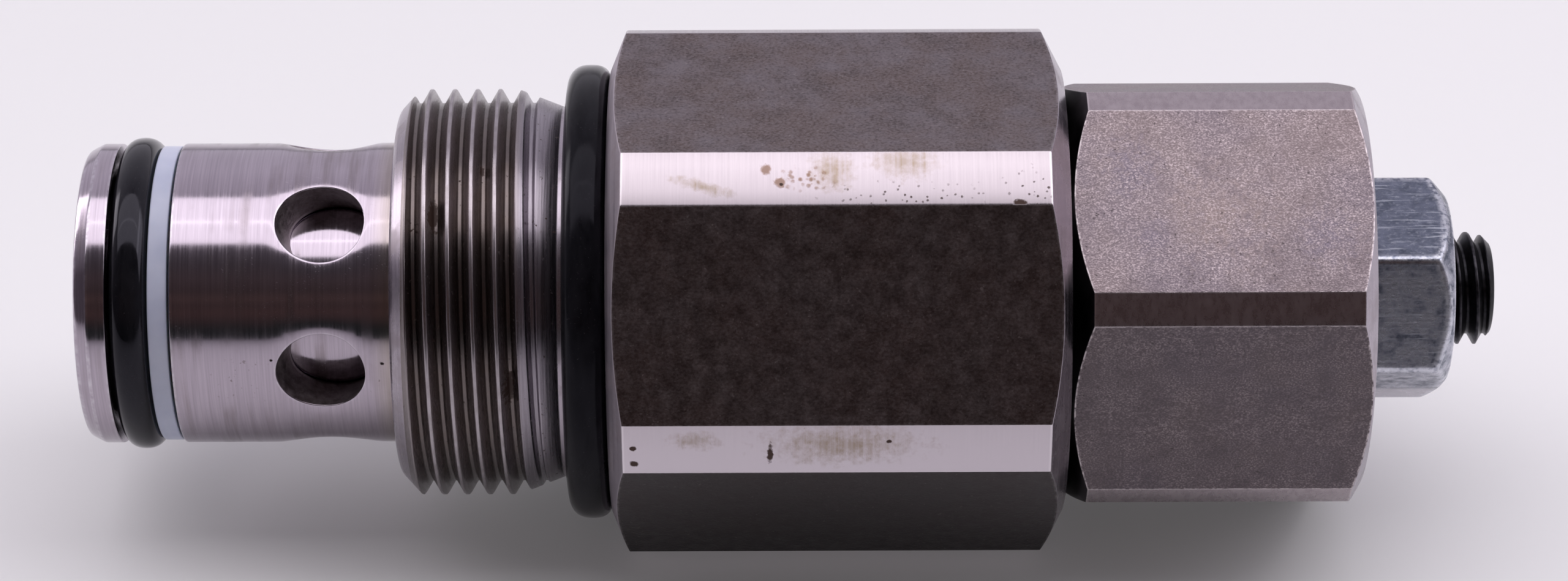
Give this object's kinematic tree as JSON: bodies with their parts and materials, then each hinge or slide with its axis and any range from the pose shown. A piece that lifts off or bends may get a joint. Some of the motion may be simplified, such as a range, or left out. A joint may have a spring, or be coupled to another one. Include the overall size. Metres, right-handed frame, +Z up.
{
  "type": "cartridge relief valve",
  "caption": "Screw-in hydraulic relief cartridge valve: ported steel nose, threaded hexagonal body, hexagonal cap, lock nut and adjusting screw.",
  "frame": {"origin": "centre of the bounding box, on the valve axis, 15.7 mm behind the sealing shoulder", "axes": "+X along the valve axis from the nose towards the adjusting screw, +Z up with a flat of the large hexagon underneath"},
  "size_m": [0.123, 0.046, 0.042],
  "materials": {
    "ground_steel": "ground bright steel with fine turning marks",
    "body_steel": "dark oiled mill finish on the flats, bright turned corners and threads",
    "cap_steel": "grey-brown grained finish with worn bright edges",
    "zinc_plate": "blue-white zinc plate, scratched",
    "black_steel": "black oxide",
    "spring_steel": "drawn spring wire",
    "rubber": "oiled black nitrile rubber",
    "ptfe": "white PTFE"
  },
  "bodies": {
    "housing": {"sleeve": "ground_steel", "nose_o_ring": "rubber", "nose_backup_ring": "ptfe", "sleeve_o_ring": "rubber", "main_spring": "spring_steel", "body": "body_steel", "body_o_ring": "rubber", "pilot_seat": "ground_steel", "pilot_seat_o_ring": "rubber", "pilot_seat_backup_ring": "ptfe", "pilot_spring": "spring_steel", "cap": "cap_steel", "cap_o_ring": "rubber"},
    "main_poppet": {"main_poppet": "ground_steel", "damping_orifice": "ground_steel"},
    "pilot_poppet": {"pilot_poppet": "ground_steel"},
    "spring_seat": {"spring_seat": "ground_steel", "spring_seat_o_ring": "rubber", "spring_seat_backup_ring": "ptfe"},
    "adjusting_screw": {"adjusting_screw": "black_steel"},
    "lock_nut": {"lock_nut": "zinc_plate"}
  },
  "joints": [
    {"name": "main_poppet_lift", "type": "slide", "parent": "housing", "child": "main_poppet", "axis": [1, 0, 0], "range_m": [0, 0.005], "stiffness_N_per_m": 2000, "springref_m": -0.001, "deforming": ["main_spring"]},
    {"name": "pilot_poppet_lift", "type": "slide", "parent": "housing", "child": "pilot_poppet", "axis": [1, 0, 0], "range_m": [0, 0.001], "stiffness_N_per_m": 1000, "springref_m": -0.0002, "deforming": ["pilot_spring"]},
    {"name": "spring_seat_travel", "type": "slide", "parent": "housing", "child": "spring_seat", "axis": [1, 0, 0], "range_m": [-0.003, 0.0015], "deforming": ["pilot_spring"]},
    {"name": "adjusting_screw_turn", "type": "hinge", "parent": "spring_seat", "child": "adjusting_screw", "pos_m": [0.0615, 0, 0], "axis": [1, 0, 0], "range_deg": [-720, 360]},
    {"name": "lock_nut_turn", "type": "hinge", "parent": "housing", "child": "lock_nut", "pos_m": [0.05375, 0, 0], "axis": [1, 0, 0], "range_deg": [0, 360]}
  ],
  "couplings": [
    {"joint": "adjusting_screw_turn", "follows": "spring_seat_travel", "rad_per_m": 4188.8}
  ]
}
